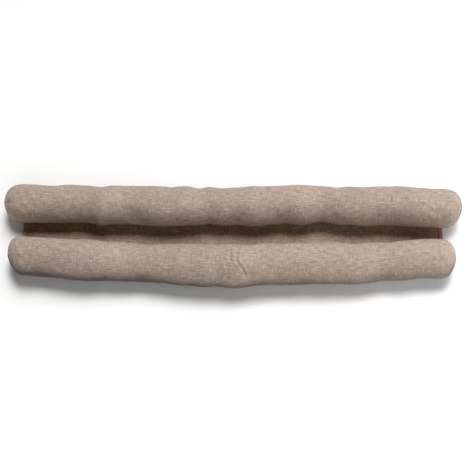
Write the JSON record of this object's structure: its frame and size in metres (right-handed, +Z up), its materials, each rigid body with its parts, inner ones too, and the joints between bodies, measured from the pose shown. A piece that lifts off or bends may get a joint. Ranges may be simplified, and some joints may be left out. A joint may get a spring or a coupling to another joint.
{
  "type": "twin draught excluder",
  "caption": "Twin draught excluder: two stuffed rolls of heathered beige-brown woven cloth, joined by a flat hemmed cloth strip that lies under the door.",
  "frame": {"origin": "on the floor, at the middle of the object's box", "axes": "+X along the rolls, +Y from the front roll to the back roll, +Z up"},
  "size_m": [0.87, 0.2168, 0.08],
  "materials": {
    "roll_cloth": "matt heathered plain weave, beige-brown with lighter, pinkish and grey flecks",
    "strip_cloth": "the same matt heathered plain weave, single cloth, hemmed at both ends"
  },
  "bodies": {
    "root": {"roll_back": "roll_cloth", "roll_front": "roll_cloth", "door_strip": "strip_cloth"}
  },
  "joints": []
}
